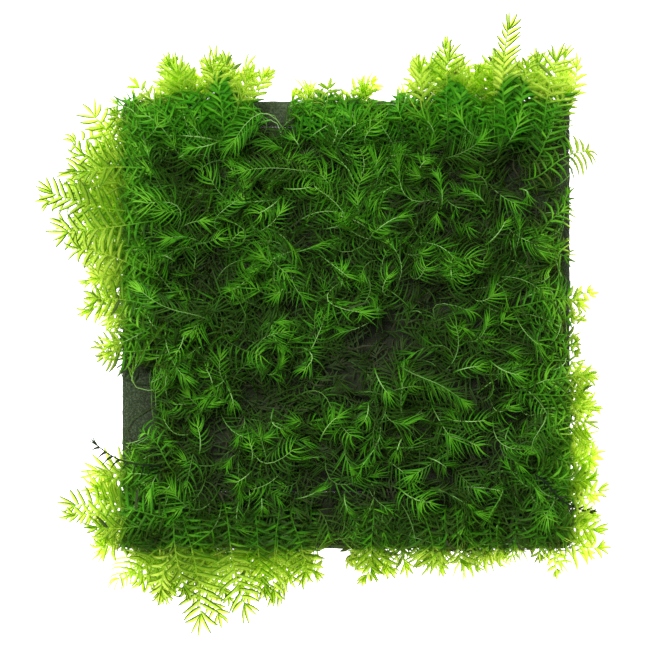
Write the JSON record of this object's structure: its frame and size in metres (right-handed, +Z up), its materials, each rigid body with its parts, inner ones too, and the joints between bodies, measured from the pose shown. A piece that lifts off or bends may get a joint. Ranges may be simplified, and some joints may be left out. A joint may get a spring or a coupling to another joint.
{
  "type": "phoenix moss on a square foam pad",
  "caption": "Square dark foam pad covered with a tied carpet of phoenix moss, with feathery green shoots spreading over its edges, for an aquarium floor or wall.",
  "frame": {"origin": "middle of the foam pad's flat underside", "axes": "+Z up through the moss, +X to the right and +Y to the top of the picture, which looks straight down"},
  "size_m": [0.1032, 0.1106, 0.0228],
  "materials": {
    "foam": "fine-pored matt foam, near black",
    "line": "clear nylon line",
    "moss": "deep green moss leaves with paler tips",
    "fringe_moss": "light yellow-green translucent moss leaves",
    "dry_moss": "dull dark green old moss"
  },
  "bodies": {
    "root": {"bottom_shoot_1": "fringe_moss", "bottom_shoot_10": "fringe_moss", "bottom_shoot_11": "fringe_moss", "bottom_shoot_2": "fringe_moss", "bottom_shoot_3": "fringe_moss", "bottom_shoot_4": "fringe_moss", "bottom_shoot_5": "fringe_moss", "bottom_shoot_6": "fringe_moss", "bottom_shoot_7": "fringe_moss", "bottom_shoot_8": "fringe_moss", "bottom_shoot_9": "fringe_moss", "dry_shoot_left": "dry_moss", "dry_shoot_right": "dry_moss", "foam_pad": "foam", "left_shoot_1": "fringe_moss", "left_shoot_10": "fringe_moss", "left_shoot_11": "fringe_moss", "left_shoot_2": "fringe_moss", "left_shoot_3": "fringe_moss", "left_shoot_4": "fringe_moss", "left_shoot_5": "fringe_moss", "left_shoot_6": "fringe_moss", "left_shoot_7": "fringe_moss", "left_shoot_8": "fringe_moss", "left_shoot_9": "fringe_moss", "moss_carpet": "moss", "right_shoot_1": "fringe_moss", "right_shoot_10": "fringe_moss", "right_shoot_11": "fringe_moss", "right_shoot_12": "fringe_moss", "right_shoot_2": "fringe_moss", "right_shoot_3": "fringe_moss", "right_shoot_4": "fringe_moss", "right_shoot_5": "fringe_moss", "right_shoot_6": "fringe_moss", "right_shoot_7": "fringe_moss", "right_shoot_8": "fringe_moss", "right_shoot_9": "fringe_moss", "tie_line_bottom": "line", "tie_line_second": "line", "tie_line_top": "line", "top_shoot_1": "fringe_moss", "top_shoot_10": "fringe_moss", "top_shoot_11": "fringe_moss", "top_shoot_12": "fringe_moss", "top_shoot_13": "fringe_moss", "top_shoot_14": "fringe_moss", "top_shoot_15": "fringe_moss", "top_shoot_2": "fringe_moss", "top_shoot_3": "fringe_moss", "top_shoot_4": "fringe_moss", "top_shoot_5": "fringe_moss", "top_shoot_6": "fringe_moss", "top_shoot_7": "fringe_moss", "top_shoot_8": "fringe_moss", "top_shoot_9": "fringe_moss", "upper_shoot_1": "moss", "upper_shoot_2": "moss", "upper_shoot_3": "moss", "upper_shoot_4": "moss"}
  },
  "joints": []
}
